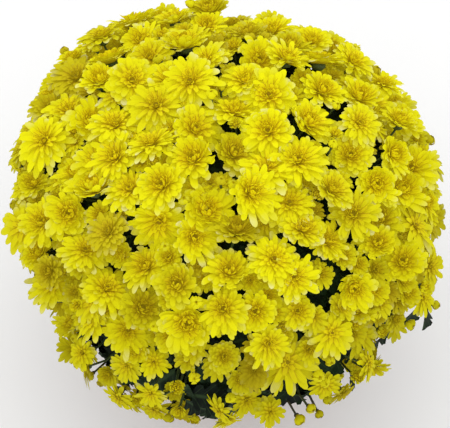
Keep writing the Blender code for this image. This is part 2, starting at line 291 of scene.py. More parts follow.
studio = {
    "elevation": 55,  # of the camera over the dome, in degrees, from the front
    "distance": 1.6,
    "target": (0, 0, 0.252),
    "lens": 128.8,
    "skyStrength": 1.06,
    # the lamps: place, power and size, and where they aim
    "lamps": {"topLight": ((-0.35, 0.6, 2.0), 2.6, 2.0), "frontLight": ((0.5, -1.9, 1.0), 0.4, 1.4)},
    "lampAim": (0, 0, 0.25),
    "floorHalf": 6,
    "floorColour": (0.95, 0.95, 0.95),
    "floorRoughness": 0.8,
}
viewSine = math.sin(math.radians(studio["elevation"]))
viewCosine = math.cos(math.radians(studio["elevation"]))


def aimed(name, data, location, target):
    obj = placed(name, data)
    obj.location = location
    obj.rotation_euler = (Vector(target) - obj.location).to_track_quat("-Z", "Y").to_euler()
    return obj


def makeStudio():
    scene = bpy.context.scene
    target = Vector(studio["target"])
    lens = bpy.data.cameras.new("camera")
    lens.lens = studio["lens"]
    location = target + studio["distance"] * Vector((0, -viewCosine, viewSine))
    scene.camera = aimed("camera", lens, location, target)
    for name, (location, power, size) in studio["lamps"].items():
        light = bpy.data.lights.new(name, "AREA")
        light.shape, light.size, light.energy = "DISK", size, power
        aimed(name, light, location, studio["lampAim"])
    world = bpy.data.worlds.new("softRoom")
    world.use_nodes = True
    sky = world.node_tree.nodes["Background"].inputs
    sky["Color"].default_value = (1, 1, 1, 1)
    sky["Strength"].default_value = studio["skyStrength"]
    scene.world = world
    scene.view_settings.view_transform = "Standard"
    half = studio["floorHalf"]
    corners = [(-half, -half, 0), (half, -half, 0), (half, half, 0), (-half, half, 0)]
    floor = placed("floor", meshFrom("floor", corners, [[0, 1, 2, 3]]))
    finish = Finish("paleFloor", {"Base Color": studio["floorColour"], "Roughness": studio["floorRoughness"]})
    floor.data.materials.append(finish.material)


makeStudio()
print("studio ready")


# Where the sprays and blooms sit: the same steps as in the part's source

dome = {
    "seed": 11,
    "centre": Vector((0, 0, 0.246)),
    "radius": 0.205,
    "rise": 0.176,
    "drop": 0.158,
    "lowest": math.radians(-35),
    "sprays": 36,
    "blooms": 286,
    "jitter": 0.30,
    "spacing": 1.08,  # of the blooms, over that of an even pattern of triangles
    "triangle": 0.866,  # the height of one with sides of 1
    "spacingPush": 0.22,
    "spacingSteps": 24,
    "lowMargin": 0.012,
    "border": 0.030,
    "lightPull": 0.5,
    "axisJitter": 0.13,
    "easing": 0.2,
    "easingSteps": 40,
    "depthJitter": 0.003,
    "petalRise": 0.42,
    "widest": 0.0215,
    "narrowest": 0.0125,
    "gap": 0.0006,
}


def spiral(count, first):
    share = (np.arange(count) + 0.5) / count
    height = 1 - share * (1 - math.sin(dome["lowest"]))
    turn = first + goldenAngle * np.arange(count)
    flat = np.sqrt(1 - height**2)
    return np.column_stack([flat * np.cos(turn), flat * np.sin(turn), height])


def unit(rows):
    return rows / np.linalg.norm(rows, axis=1)[:, None]


def pushes(points, reach):
    # the moves that drive points apart which are closer than reach
    apart = points[:, None] - points[None]
    same = np.eye(len(points))
    distance = np.linalg.norm(apart, axis=2) + same
    push = np.clip(reach - distance, 0, None) * (1 - same)
    return (apart / distance[..., None] * push[..., None]).sum(axis=1)


def spaced(directions, rng):
    lowest = math.sin(dome["lowest"])
    reach = dome["spacing"] * math.sqrt(math.tau * (1 - lowest) / len(directions) / dome["triangle"])
    moved = directions + rng.normal(0, dome["jitter"] * reach, directions.shape)
    for _ in range(dome["spacingSteps"]):
        moved = unit(moved)
        moved += dome["spacingPush"] * pushes(moved, reach)
        moved[:, 2] = np.maximum(moved[:, 2], lowest + dome["lowMargin"])
    return unit(moved)


def keptWithin(blooms, owner, sprays):
    for k in 2 * list(range(len(sprays))):
        edge = sprays[owner] - sprays[k]
        size = np.linalg.norm(edge, axis=1)
        edge /= np.where(size > 0, size, 1)[:, None]
        inside = (blooms * edge).sum(axis=1)
        short = np.where(size > 0, np.clip(dome["border"] - inside, 0, None), 0)
        blooms = unit(blooms + edge * short[:, None])
    return blooms


def halfAxes(direction):
    return dome["radius"], dome["radius"], dome["rise"] if direction[2] > 0 else dome["drop"]


def onDome(direction, share=1.0):
    return dome["centre"] + share * Vector([float(v) * r for v, r in zip(direction, halfAxes(direction))])


def outward(direction):
    return Vector([float(v) / r for v, r in zip(direction, halfAxes(direction))]).normalized()


class Bloom:
    def __init__(self, direction, spray, rng):
        self.direction = Vector([float(v) for v in direction])
        self.spray = int(spray)
        normal = outward(direction)
        self.seat = onDome(direction) + normal * rng.uniform(-dome["depthJitter"], dome["depthJitter"])
        self.axis = (normal + dome["lightPull"] * up + stray(rng, dome["axisJitter"])).normalized()
        self.roll = rng.uniform(0, math.tau)
        self.radius = dome["narrowest"]

    def rimCentre(self):
        return self.seat + self.axis * (dome["petalRise"] * dome["widest"])


def seatedBlooms(blooms, owner, rng):
    return [Bloom(direction, spray, rng) for direction, spray in zip(blooms, owner)]


def settled(blooms, owner, sprays, rng):
    for _ in range(dome["easingSteps"]):
        state = rng.getstate()
        rims = np.array([b.rimCentre() for b in seatedBlooms(blooms, owner, rng)])
        rng.setstate(state)
        blooms = unit(blooms + dome["easing"] / dome["radius"] * pushes(rims, 2 * dome["widest"]))
        blooms[:, 2] = np.maximum(blooms[:, 2], math.sin(dome["lowest"]))
        blooms = keptWithin(blooms, owner, sprays)
    return seatedBlooms(blooms, owner, rng)


def placeBlooms():
    sprays = spiral(dome["sprays"], 0.4)
    blooms = spaced(spiral(dome["blooms"], 0.0), np.random.default_rng(dome["seed"]))
    owner = np.argmax(blooms @ sprays.T, axis=1)
    seated = settled(keptWithin(blooms, owner, sprays), owner, sprays, random.Random(dome["seed"]))
    centres = np.array([b.rimCentre() for b in seated])
    distance = np.linalg.norm(centres[:, None] - centres[None], axis=2) + 9 * np.eye(len(seated))
    radius = np.minimum(distance.min(axis=1) / 2, dome["widest"])
    for i in range(len(seated)):
        radius[i] = min(dome["widest"], (distance[i] - radius).min())
        seated[i].radius = float(radius[i]) - dome["gap"]
    return [Vector(s) for s in sprays], seated


sprays, blooms = placeBlooms()
print(f"{len(blooms)} blooms placed on {len(sprays)} sprays")


# Flower heads: petals on a golden spiral, from the outermost to the heart

petal = {
    # painted highlight: a pale cream laid on the tips of the petals
    "pale": (0.81, 0.785, 0.50),
    "lemon": (0.740, 0.721, 0.003),
    "yellow": (0.815, 0.770, 0.002),
    "golden": (0.79, 0.605, 0.002),
    # ochre at the petals' roots: partly their own colour, partly painted shade where they crowd
    "ochreAndRootShade": (0.56, 0.33, 0.003),
    "brown": (0.26, 0.135, 0.010),
    # painted shade in the seams between the heart's petals
    "paintedSeamShade": (0.36, 0.15, 0.006),
    # olive: partly the older heads' own colour, partly painted shade
    "oliveAgeAndShade": (0.52, 0.45, 0.012),
    "aged": (0.60, 0.42, 0.012),
    # painted glow colour: the petals give off this light themselves, in place of light coming through them
    "through": (0.92, 0.745, 0.020),
    "roughness": 0.70,
    "specular": 0.04,
    "paintedGlow": 0.110,  # painted glow: emission that stands in for daylight coming through the thin petals
    "mottleScale": 190,
    "patchScale": 42,
    "veins": 15.0,
    "relief": (0.22, 0.0004),  # strength and depth
    # share of each tint, and how much less of it the freshest heads have
    "shares": {
        "golden": (0.88, 0.35), "ochreAndRootShade": (0.92, 0), "paintedSeamShade": (0.92, 0.22), "brown": (0.8, 0),
        "aged": (0.45, 0),
    },
    "oliveAgeAndShadeShare": 0.32,
    # from where to where each thing comes in
    "spans": {
        "lemon": (0.45, 1.25), "heart": (0.35, 0.85), "root": (0.50, 0.96), "paintedSeamShade": (0.56, 0.92),
        "inner": (0.36, 0.66), "eye": (0.93, 1.0), "aged": (0.0, 0.16), "patch": (0.42, 0.62),
        "sun": (0.15, 0.42), "tip": (0.84, 1.45), "paintedHeadShade": (0.0, 0.46),
    },
    "lowSun": 0.08,  # painted sunlight at the foot of the dome, 1 at its crown
    "agedTone": 0.20,  # the tone under which heads look aged, and the one under which they get painted shade
    "paintedHeadShadeTone": 0.46,
    # the painted brightness, and what the tone, the whim, the vein, the painted shade at the root and the
    # painted sunlight add to it or take away
    "light": {"base": 0.59, "tone": 0.05, "whim": 0.06, "vein": 0.05, "root": 0.34, "sun": 0.42},
    "brightest": 0.90,  # cap on the painted brightness where there is no painted sunlight; it rises with it
}


def petalFinish():
    net = Finish("lemonPetal", {
        "Roughness": petal["roughness"], "Specular IOR Level": petal["specular"],
        # painted glow: a weak emission that lifts the petals' shade
        "Emission Color": petal["through"], "Emission Strength": petal["paintedGlow"],
    })
    along, across, age, tone, whim, ripe = net.attributes("along across age tone whim ripe")
    place = net.place()
    mottle = net.grain(place, petal["mottleScale"], 3)

    def span(name, value):
        return net.step(value, *petal["spans"][name])

    def layer(tint, name, mask):
        share, less = petal["shares"][name]
        return net.blend(tint, petal[name], mask * (share - tone * less if less else share))

    tint = net.blend(petal["yellow"], petal["lemon"], span("lemon", along - age * 0.35 + mottle * 0.4))
    tint = layer(tint, "golden", span("heart", age * 1.2 - along * 0.22 + (mottle - 0.5) * 0.3))
    # painted shade at the petals' roots, partly their own ochre colour
    root = span("root", 1 - along)
    tint = layer(tint, "ochreAndRootShade", root)
    # painted shade at the sides of the inner petals, where they meet
    tint = layer(tint, "paintedSeamShade", span("paintedSeamShade", net.maths("ABSOLUTE", across)) * span("inner", age))
    tint = layer(tint, "brown", span("eye", age - along))
    # olive on heads of low tone: partly the colour of older heads, partly painted shade of heads lying deeper
    tint = net.blend(tint, petal["oliveAgeAndShade"], (1 - tone) * petal["oliveAgeAndShadeShare"])
    tint = layer(tint, "aged", span("aged", petal["agedTone"] - tone))
    patch = span("patch", net.grain(place, petal["patchScale"], 2))
    # painted sunlight: the petals are painted brighter the higher they sit on the dome, as if lit from above
    paintedSunlight = petal["lowSun"] + (1 - petal["lowSun"]) * span("sun", net.heightOf(place))
    # painted highlight: pale sheen on the petal tips in random patches, more of it higher on the dome
    sheen = span("tip", along + whim * 0.45 - age * 0.7) * (0.13 + patch * 0.78) * paintedSunlight
    tint = net.blend(tint, petal["pale"], sheen * ripe)
    vein = net.maths("SINE", across * petal["veins"]) * 0.5 + 0.5
    lit = petal["light"]
    # painted brightness: painted shade at the roots and painted sunlight with height, on top of random tones,
    # whims and veins
    light = lit["base"] + tone * lit["tone"] + (whim - 0.5) * lit["whim"] - vein * lit["vein"]
    light = light - root * lit["root"] + paintedSunlight * lit["sun"]
    light = net.maths("MINIMUM", light, paintedSunlight * paintedSunlight * 0.115 + petal["brightest"])
    # painted shade on heads of low tone, stronger low on the dome, for heads lying in the shade of others
    paintedHeadShade = span("paintedHeadShade", petal["paintedHeadShadeTone"] - tone) * (0.36 - paintedSunlight * 0.16)
    light = light * (1 - paintedHeadShade) * (1.05 - whim * 0.16)
    # the painted brightness, a little greener under the painted sunlight, multiplied into the tint
    shade = net.vector(light, light * (0.98 + paintedSunlight * 0.035), light)
    net.feed("Base Color", net.blend(tint, shade, 1.0, "MULTIPLY"))
    net.bump(vein * 0.6 + mottle * 0.4, *petal["relief"])
    return net.material


head = {
    "seed": 5,
    "firstSeed": 31,
    "outer": 0.50,  # share of the petals that have the long form
    "turnStray": 0.13,
    # the petals' curves, as distance from the axis and height, closed and wide open: for the outermost petal,
    # and the change from it to the heart
    "midReach": ((1.12, -0.55), (0.62, -0.47)),
    "midRise": ((0.60, 0.10), (0.24, 0.20)),
    "tipReach": ((0.20, -0.15), (1.0, -0.30)),
    "tipRise": ((1.10, -0.16), (0.17, 0.56)),
    "dimple": 0.10,
    "eyeHeight": 0.27,
    "tilt": 0.5,
    "point": 0.05,  # of the middle of a petal's tip
}
# The strips of the long and the short petals, as place along and half width
strips = {
    "longPetal": ((0.0, 0.32), (0.28, 0.76), (0.60, 1.00), (0.88, 0.97), (0.985, 0.62)),
    "shortPetal": ((0.0, 0.35), (0.42, 0.95), (0.80, 0.96), (0.98, 0.50)),
}
# The kinds of head, in the order of their forms: how many forms, then the least and the most of their petals,
# opening, sway, width and raggedness
heads = {
    "open": (12, (90, 108), (0.73, 1.04), (0.05, 0.26), (0.25, 0.315), (0.08, 0.20)),
    "lesser": (6, (50, 60), (0.74, 1.02), (0.10, 0.30), (0.27, 0.32), (0.07, 0.13)),
    "hanging": (6, (40, 52), (1.10, 1.40), (0.05, 0.18), (0.32, 0.39), (0.06, 0.11)),
    "halfOpen": (4, (26, 34), (0.35, 0.72), (0.05, 0.22), (0.29, 0.35), (0.04, 0.08)),
    "bud": (3, (16, 20), (0.00, 0.10), (0.0, 0.0), (0.50, 0.58), (0.01, 0.03)),
}


def petalStrip(name):
    # an open strip, three points to a row, which the head's tree places by along and across
    points, along, across = [], [], []
    rows = strips[name]
    for row, (reach, half) in enumerate(rows):
        for column in (-1, 0, 1):
            pointed = column == 0 and row == len(rows) - 1
            along.append(reach + head["point"] * pointed)
            across.append(column * half)
            points.append((across[-1], along[-1], 0))
    return meshFrom(name, points, stripFaces(len(rows) - 1), along=along, across=across)


def eyeButton():
    rings = ((0.10, -0.04), (0.070, 0.02), (0.035, 0.03))
    return lathed("eyeButton", rings, (0.015,), along=0.0, age=1.0, ripe=1.0)


def headTree(finish):
    # a flower head of radius 1 on the origin, looking up
    labels = {"Int": ("Petals", "Seed"), "Float": ("Opening", "Sway", "Width", "Ragged")}
    net, given = geometryTree("flowerHead", {**labels, "Object": ("longPetal", "shortPetal", "eyeButton")})

    def chance(low, high, salt):
        links = {2: low, 3: high, 8: given["Seed"] * 7 + salt}
        return net.node("FunctionNodeRandomValue", links, 1, data_type="FLOAT")

    index = net.shape("InputIndex")
    points = net.shape("Points", given["Petals"])
    for name, value in (
        ("age", index / (given["Petals"] - 1.0)),
        ("turn", index * goldenAngle + chance(-head["turnStray"], head["turnStray"], 1)),
        ("whim", chance(0.0, 1.0, 2)),
        ("lift", chance(-1.0, 1.0, 3)),
        ("stretch", chance(-1.0, 1.0, 4)),
        ("ripe", given["Opening"]),
    ):
        points = net.shape("StoreNamedAttribute", points, Name=name, Value=value)
    outer = net.maths("LESS_THAN", index, given["Petals"] * head["outer"])
    petals = []
    for label, chosen in (("longPetal", outer), ("shortPetal", 1 - outer)):
        strip = net.shape("ObjectInfo", given[label], "Geometry")
        petals.append(net.node("GeometryNodeInstanceOnPoints", {0: points, 1: chosen, 2: strip}))
    petals = net.shape("RealizeInstances", net.shape("JoinGeometry", petals))

    along, across, age, turn, whim, lift, stretch = net.attributes("along across age turn whim lift stretch")
    rest, ragged = 1 - along, given["Ragged"]
    # one side of the head opens wider than the other
    opening = given["Opening"] * (1 + given["Sway"] * (1 - age * 0.7) * net.maths("COSINE", turn))

    def opened(name, less=0):
        closed, wide = (first + age * change for first, change in head[name])
        return closed + (wide - less - closed) * opening

    def curved(root, mid, tip):
        # a value along the petal's curve and its slope there
        value = root * rest * rest + mid * along * rest * 2 + tip * along * along
        return value, (mid - root) * rest + (tip - mid) * along

    tipReach = opened("tipReach", net.step(age, 0.32, 0.98) * 0.62) * (1 + stretch * ragged * 1.2)
    tipRise = opened("tipRise", age * age * 0.27) - net.step(age, 0.80, 1.0) * head["dimple"]
    tipRise = tipRise + lift * ragged * (1.1 - age * 0.7)
    reach, reachSlope = curved(0.11 - age * 0.08, opened("midReach"), tipReach)
    rise, riseSlope = curved(0.03 + age * 0.09, opened("midRise"), tipRise)
    slope = net.maths("SQRT", reachSlope * reachSlope + riseSlope * riseSlope + 0.0001)
    half = given["Width"] * (1 - age * 0.48) * 0.5
    cup = across * across * half * (0.10 + age * 0.42)
    tilt = (whim - 0.5) * head["tilt"]
    proud = cup - across * half * net.maths("SINE", tilt)
    reach = reach - proud * riseSlope / slope
    rise = rise + proud * reachSlope / slope
    swerve = (lift * 0.6 + stretch * 0.4) * ragged * along * along * 1.3
    sideways = swerve - across * half * net.maths("COSINE", tilt)
    cosine, sine = net.maths("COSINE", turn), net.maths("SINE", turn)
    place = net.vector(cosine * reach - sine * sideways, sine * reach + cosine * sideways, rise)
    petals = net.shape("SetPosition", petals, Position=place)

    middle = net.shape("Points", 1, Position=(0, 0, head["eyeHeight"]))
    eye = net.shape("ObjectInfo", given["eyeButton"], "Geometry")
    eye = net.node("GeometryNodeInstanceOnPoints", {0: middle, 2: eye})
    whole = net.shape("SetShadeSmooth", net.shape("JoinGeometry", [petals, eye]))
    whole = net.shape("RealizeInstances", whole)
    return ended(net, net.shape("SetMaterial", whole, Material=finish))


def makeHeads(finish):
    # the forms of head, and the number of the first form of each kind
    rng = random.Random(head["seed"])
    group = newGroup("headForms")
    tree = headTree(finish)
    parts = {name: placed(name, petalStrip(name)) for name in strips}
    parts["eyeButton"] = placed("eyeButton", eyeButton())
    first = {}
    for kind, (count, petals, (low, high), *spans) in heads.items():
        first[kind] = len(group.objects)
        for k in range(count):
            number = len(group.objects)
            share = (k + 0.5) / count
            values = {"Petals": rng.randint(*petals), "Opening": low + (high - low) * share}
            values |= {label: rng.uniform(*span) for label, span in zip(("Sway", "Width", "Ragged"), spans)}
            form = placed(f"form{number:02d}", bpy.data.meshes.new("form"), group)
            grown(form, tree, {**values, "Seed": head["firstSeed"] + number, **parts})
    removed(*parts.values())
    return group, first


def placedForms(net, places, forms, finish, droop):
    # copies of the forms on the points of places, turned so that up is facing and +Y is heading
    facing, heading = (net.attribute(name, "FLOAT_VECTOR") for name in ("facing", "heading"))
    align = "FunctionNodeAlignRotationToVector"
    turn = net.node(align, {0: net.node(align, {2: facing}, axis="Z"), 2: heading}, axis="Y", pivot_axis="Z")
    along, age, size, hang = net.attributes("along age size hang")
    links = {0: places, 2: forms, 3: True, 4: net.attribute("form", "INT"), 5: turn, 6: size}
    copies = net.shape("RealizeInstances", net.node("GeometryNodeInstanceOnPoints", links))
    young = 1 - age
    sag = along * along * young * young * size * hang * droop
    copies = net.shape("SetPosition", copies, Offset=net.vector(0.0, 0.0, 0 - sag))
    return net.shape("SetMaterial", net.shape("SetShadeSmooth", copies), Material=finish)


def formsOf(net, group):
    return net.node("GeometryNodeCollectionInfo", {0: group, 1: True, 2: True})


def sprayTree(finish):
    net, given = geometryTree("flowerSpray", {"Collection": ("Forms",), "Float": ("Droop",)})
    forms = formsOf(net, given["Forms"])
    return ended(net, placedForms(net, given["Geometry"], forms, finish, given["Droop"]))


spray = {
    "seed": 21,
    "scale": (1.03, 1.33),  # of a head over its solid
    "largest": 0.0276,
    # share of a head's size by the height of its direction on the dome
    "gain": ((-0.57, 0.66), (-0.10, 0.70), (0.25, 0.90), (0.50, 1.15), (0.65, 1.33), (1.0, 1.39)),
    "far": 0.14,  # how much smaller the heads are along the back
    # by the same height, how much further up than its solid a head turns, how far its petals hang, and how
    # far in it sits
    "lean": ((-0.57, 0.05), (0.0, 0.18), (0.4, 0.62), (0.7, 0.72), (1.0, 0.30)),
    "hang": ((-0.57, 0.8), (0.0, 0.9), (0.5, 1.0), (1.0, 0.8)),
    "pull": ((-0.57, 0.006), (-0.2, 0.006), (0.15, 0.0), (1.0, 0.0)),
    "gather": 0.62,  # how far the heads lower than gatherFrom draw towards the middle of their spray
    "gatherFrom": 0.45,
    "bareScale": 7.0,  # patches of the dome with smaller heads and more gaps
    "bareShare": 0.07,
    "bareRoom": 0.005,
    # spots of the dome where the heads draw apart: sideways and up from the middle of the front view, and the
    # radius, in mm
    "thinSpots": (
        (-62, -150, 17), (-94, -162, 17), (-119, -138, 14), (-16, -176, 13), (-20, -136, 5), (7, -153, 7),
        (3, -126, 7), (22, -124, 7), (50, -175, 10), (76, -175, 10), (118, -164, 6), (125, -146, 12),
        (81, -120, 9), (98, -84, 13), (105, -55, 5), (86, -39, 7), (130, -34, 6), (38, -36, 6), (37, -77, 4),
        (-49, -39, 5), (-97, -26, 7), (-92, 3, 5), (-115, 10, 4), (-164, -39, 5), (-146, -73, 4),
        (-147, 69, 5), (-176, 49, 5), (104, 9, 3), (111, 55, 5), (118, 101, 5), (152, 57, 6), (156, 79, 6),
        (9, 162, 5),
    ),
    "spotEdge": 5,  # mm round a thin spot that stay free of small heads too
    "spotRoom": 0.030,
    "farthestPush": 0.012,
    # how far the outline stands out from an even dome, by the angle round it as seen from the front, in mm
    "outline": (
        (0, -8), (10, 2), (20, 2), (32, -4), (40, -6), (50, 5), (60, -6), (80, -8), (90, -10), (100, 9),
        (110, 12), (120, 19), (130, 22), (140, 12), (150, 13), (160, 4), (170, 1), (180, -6), (190, -18),
        (200, -25), (210, -21), (220, -9), (230, -5), (240, 22), (250, -1), (260, 15), (270, 3), (280, -44),
        (285, -36), (290, 14), (300, 12), (310, 13), (322, -34), (330, 7), (340, 11), (350, 3),
    ),
    "outlineBand": 0.8,
    "rise": (-0.009, 0.008),  # of a head's root over its seat
    "shift": 0.0062,  # of its root along the dome
    "tilt": 0.34,
    # height of a direction under which other kinds of head come in, and for each its least chance and size
    "lowHeads": 0.30,
    "lowKinds": (("bud", 0.85, 0.52), ("halfOpen", 0.72, 0.75)),
    # heads in the gaps between the blooms: how many, their radii, how far out of the dome they root, and the
    # share of them below the height lowZone, where they leave the widest gaps open
    "fillers": {
        "lesser": (265, (0.0125, 0.0175), (-0.013, -0.001), 0.05),
        "halfOpen": (80, (0.0090, 0.0135), (-0.006, 0.005), 0.30),
        "bud": (115, (0.0070, 0.0105), (-0.002, 0.010), 0.45),
    },
    "fillerTries": 5000,
    "fillerLift": 0.006,
    # lone heads at the dome's edge: the angle round the outline, the kind, the radius and the move out
    "strays": (
        (291, "lesser", 0.0135, 0.003), (297, "open", 0.0150, 0.000), (303, "halfOpen", 0.0105, 0.006),
        (308, "lesser", 0.0140, -0.002), (312, "halfOpen", 0.0110, 0.000),
        (247, "halfOpen", 0.0110, 0.004), (256, "bud", 0.0080, 0.006), (264, "lesser", 0.0130, 0.000),
    ),
    "strayDepth": 0.012,
    "lowZone": 0.20,
    "lowRoom": 0.0035,
    "droop": 0.24,
}
# One flower of the scene: where its petals root, the way it faces, its size, form, tone and spray, the way of
# its first petals and how far they hang
Head = namedtuple("Head", "root facing size form tone spray heading hang")


def byHeight(label, direction):
    heights, values = zip(*spray[label])
    return float(np.interp(direction[2], heights, values))


def highness(direction):
    # how high a direction shows in the front view, from -1 to 1
    return direction[1] * viewSine + direction[2] * viewCosine


def nearness(direction):
    # above 0 on the side of the dome that the front view shows
    return direction[2] * viewSine - direction[1] * viewCosine


def uneven(direction):
    # the move of a head that makes the plain dome as uneven as the real plant
    angle = math.degrees(math.atan2(highness(direction), direction[0]))
    angles, values = zip(*spray["outline"])
    out = float(np.interp(angle, angles, values, period=360))
    return outward(direction) * (out * 0.001 * max(0.0, 1 - abs(nearness(direction)) / spray["outlineBand"]))


def bareness(direction):
    # 0 in the full parts of the dome, up to 1 in its thin patches
    place = Vector([float(v) for v in direction]) * spray["bareScale"]
    return min(1.0, max(0.0, noise.noise(place) * 2.0 - 0.30))


def middleOf(root, axis, size):
    return root + axis * (dome["petalRise"] * size)


def seenAt(point):
    # where a point shows in the front view, sideways and up in metres from its middle, and how enlarged
    x, y, z = point - Vector(studio["target"])
    scale = studio["distance"] / (studio["distance"] + y * viewCosine - z * viewSine)
    return Vector((x, y * viewSine + z * viewCosine)) * scale, scale


def cleared(root, axis, size, direction):
    # draws a head of the front out of the thin spots
    if nearness(direction) < 0:
        return root, size
    for x, y, radius in spray["thinSpots"]:
        place, scale = seenAt(middleOf(root, axis, size))
        away = place - Vector((x, y)) * 0.001
        reach = radius * 0.00085 + 0.80 * size * scale
        if away.length < reach:
            push = min(reach - away.length, spray["farthestPush"]) / scale
            away.normalize()
            root = root + Vector((away.x, away.y * viewSine, away.y * viewCosine)) * push
            size *= 1 - 10 * push
    return root, size


def inThinSpot(point, direction):
    if nearness(direction) < 0:
        return False
    place, _ = seenAt(point)
    edge, spots = spray["spotEdge"], spray["thinSpots"]
    return any((place - Vector((x, y)) * 0.001).length < (radius + edge) * 0.001 for x, y, radius in spots)


def formOf(kind, first, rng):
    return first[kind] + rng.randrange(heads[kind][0])


def fillers(flowers, first, rng):
    # small heads and buds in the widest gaps between the blooms
    centres = np.array([middleOf(f.root, f.facing, f.size) for f in flowers])
    radii = np.array([f.size for f in flowers]) * 0.95
    tries = spiral(spray["fillerTries"], 1.0)
    points = np.array([onDome(t) + outward(t) * spray["fillerLift"] + uneven(t) for t in tries])
    room = (np.linalg.norm(points[:, None] - centres[None], axis=2) - radii[None]).min(axis=1)
    room -= spray["bareRoom"] * np.array([bareness(t) for t in tries])
    room -= spray["spotRoom"] * np.array([inThinSpot(Vector(p), t) for p, t in zip(points, tries)])
    low = tries[:, 2] < spray["lowZone"]
    chance = np.random.default_rng(spray["seed"]).random(len(tries)) * 0.001
    kinds = [kind for kind, plan in spray["fillers"].items() for _ in range(plan[0])]
    lesser = spray["fillers"]["lesser"][0]
    kinds[lesser:] = rng.sample(kinds[lesser:], len(kinds) - lesser)
    found = []
    for kind in kinds:
        _, sizes, depths, lowShare = spray["fillers"][kind]
        if rng.random() < lowShare:
            best = int(np.argmax(np.where(low, np.minimum(room, spray["lowRoom"]) + chance, -1)))
        else:
            best = int(np.argmax(np.where(low, -1, room)))
        size = rng.uniform(*sizes)
        direction = tries[best]
        normal = outward(direction)
        lift = dome["lightPull"] + byHeight("lean", direction)
        axis = (normal + lift * up + stray(rng, 0.2)).normalized()
        root = onDome(direction) + normal * (rng.uniform(*depths) - byHeight("pull", direction))
        root = root + uneven(direction) + stray(rng, 0.3) * spray["shift"]
        form = formOf(kind, first, rng)
        owner = int(np.argmax(np.array(sprays) @ direction))
        heading = sideOf(rng, axis)
        hang = byHeight("hang", direction) if kind == "lesser" else 0.4
        # fillers sit deeper in the dome, so their tone runs lower, which paints more shade on them
        found.append(Head(root, axis, size, form, rng.uniform(0.0, 0.6), owner, heading, hang))
        room = np.minimum(room, np.linalg.norm(points - points[best], axis=1) - size * 0.9)
    return found


def strays(first, rng):
    found = []
    for angle, kind, size, out in spray["strays"]:
        x, high, _ = around(math.radians(angle))
        direction = Vector((x, high * viewSine, high * viewCosine))
        normal = outward(direction)
        axis = (normal + 0.5 * up + 0.3 * sideOf(rng, normal)).normalized()
        root = onDome(direction) + normal * (out - spray["strayDepth"])
        form = formOf(kind, first, rng)
        owner = min(range(len(sprays)), key=lambda k: (sprays[k] - direction).length)
        found.append(Head(root, axis, size, form, rng.uniform(0.3, 0.9), owner, sideOf(rng, axis), 0.5))
    return found


def bloomHead(bloom, first, rng):
    # the head in the place of one bloom of the part
    direction, z = bloom.direction, bloom.direction.z
    axis = bloom.axis + byHeight("lean", direction) * up + spray["tilt"] * stray(rng, 1)
    axis.normalize()
    full = byHeight("gain", direction) * (1 - spray["bareShare"] * bareness(direction))
    full *= 1 - spray["far"] * min(1.0, max(0.0, (highness(direction) - 0.2) / 0.6))
    size = min(bloom.radius * full * rng.uniform(*spray["scale"]), spray["largest"])
    kind, chance = "open", rng.random()
    young = [plan for plan in spray["lowKinds"] if z < spray["lowHeads"] and chance > plan[1]]
    if young:
        kind, size = young[0][0], size * young[0][2]
    elif chance < 0.65 - z * 1.3:
        kind = "hanging"
    form = formOf(kind, first, rng)
    shift = Vector([rng.uniform(-1, 1) for _ in range(3)])
    shift -= shift.dot(bloom.axis) * bloom.axis
    root = bloom.seat + axis * rng.uniform(*spray["rise"]) + spray["shift"] * shift
    root -= outward(direction) * byHeight("pull", direction)
    gather = spray["gather"] * min(1.0, max(0.0, spray["gatherFrom"] - z))
    root = root.lerp(onDome(sprays[bloom.spray]), gather) + uneven(direction)
    root, size = cleared(root, axis, size, direction)
    heading, hang = aside(axis, bloom.roll), byHeight("hang", direction)
    return Head(root, axis, size, form, rng.random() ** 0.8, bloom.spray, heading, hang)


def makeFlowers():
    finish = petalFinish()
    group, first = makeHeads(finish)
    rng = random.Random(spray["seed"])
    flowers = [bloomHead(bloom, first, rng) for bloom in blooms]
    flowers += fillers(flowers, first, rng) + strays(first, rng)
    tree = sprayTree(finish)
    for k in range(len(sprays)):
        name = f"flowers{k + 1:02d}"
        mesh = spotsMesh(name, [f for f in flowers if f.spray == k], "hang")
        piece = grown(placed(name, mesh), tree, {"Forms": group, "Droop": spray["droop"]})
        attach(piece, "root")
        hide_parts(f"blooms_{k + 1:02d}")
    removed(group)
    return flowers


flowers = makeFlowers()
print(f"{len(flowers)} flower heads made")


# Stems and leaves of the four plants

